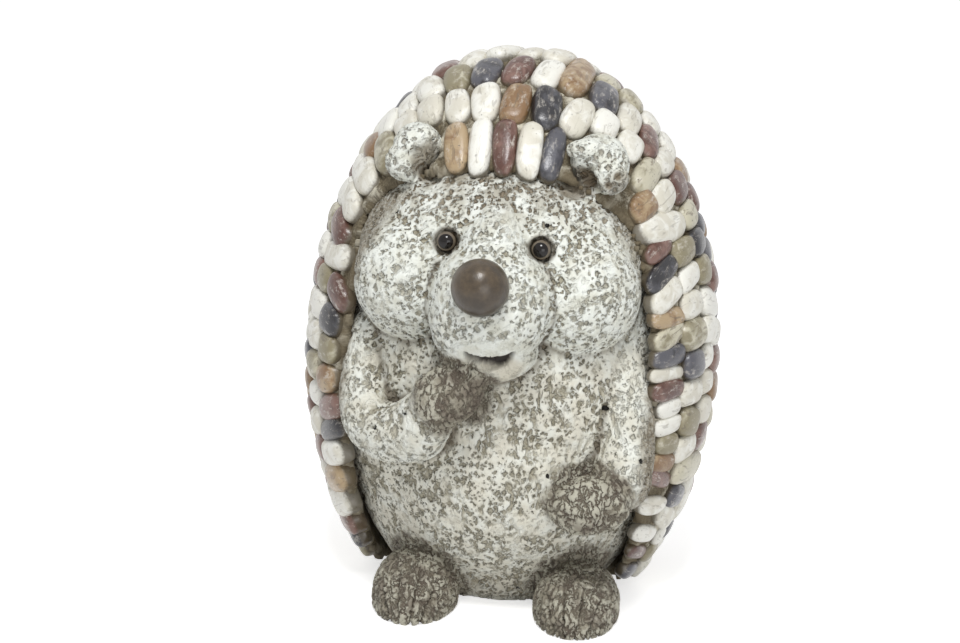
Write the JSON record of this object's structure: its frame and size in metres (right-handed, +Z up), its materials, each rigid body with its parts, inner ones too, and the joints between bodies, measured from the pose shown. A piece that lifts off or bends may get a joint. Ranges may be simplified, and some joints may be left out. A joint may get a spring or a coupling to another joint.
{
  "type": "hedgehog figurine",
  "caption": "Sitting hedgehog garden figurine: hollow cast body with a mortar mantle set with pebbles, glass eyes and a ball nose.",
  "frame": {"origin": "middle of the footprint on the floor, at the centre of the whole figure's box", "axes": "+Z up, the figure faces -Y, its left side is +X"},
  "size_m": [0.1913, 0.2199, 0.2454],
  "materials": {
    "casting": "matt off-white cast stone with a brown-grey wash in its pits, paws and feet",
    "mortar": "matt grey-olive mortar with pale rubbed edges",
    "nose_coat": "smooth satin brown-grey",
    "eye_glass": "glossy, almost black glass",
    "white_stone": "satin white stone",
    "slate_stone": "glossy blue-grey stone with a pale veil",
    "russet_stone": "glossy reddish brown stone with a pale veil",
    "ochre_stone": "satin tan stone",
    "olive_stone": "satin grey-green stone"
  },
  "bodies": {
    "root": {"body_casting": "casting", "mortar_coat": "mortar", "nose": "nose_coat", "left_eye": "eye_glass", "right_eye": "eye_glass", "white_pebbles_crown": "white_stone", "white_pebbles_left_flank": "white_stone", "white_pebbles_right_flank": "white_stone", "white_pebbles_upper_back": "white_stone", "white_pebbles_lower_back": "white_stone", "slate_pebbles_crown": "slate_stone", "slate_pebbles_left_flank": "slate_stone", "slate_pebbles_right_flank": "slate_stone", "slate_pebbles_upper_back": "slate_stone", "slate_pebbles_lower_back": "slate_stone", "russet_pebbles_crown": "russet_stone", "russet_pebbles_left_flank": "russet_stone", "russet_pebbles_right_flank": "russet_stone", "russet_pebbles_upper_back": "russet_stone", "russet_pebbles_lower_back": "russet_stone", "ochre_pebbles_crown": "ochre_stone", "ochre_pebbles_left_flank": "ochre_stone", "ochre_pebbles_right_flank": "ochre_stone", "ochre_pebbles_upper_back": "ochre_stone", "ochre_pebbles_lower_back": "ochre_stone", "olive_pebbles_crown": "olive_stone", "olive_pebbles_left_flank": "olive_stone", "olive_pebbles_right_flank": "olive_stone", "olive_pebbles_upper_back": "olive_stone", "olive_pebbles_lower_back": "olive_stone"}
  },
  "joints": []
}
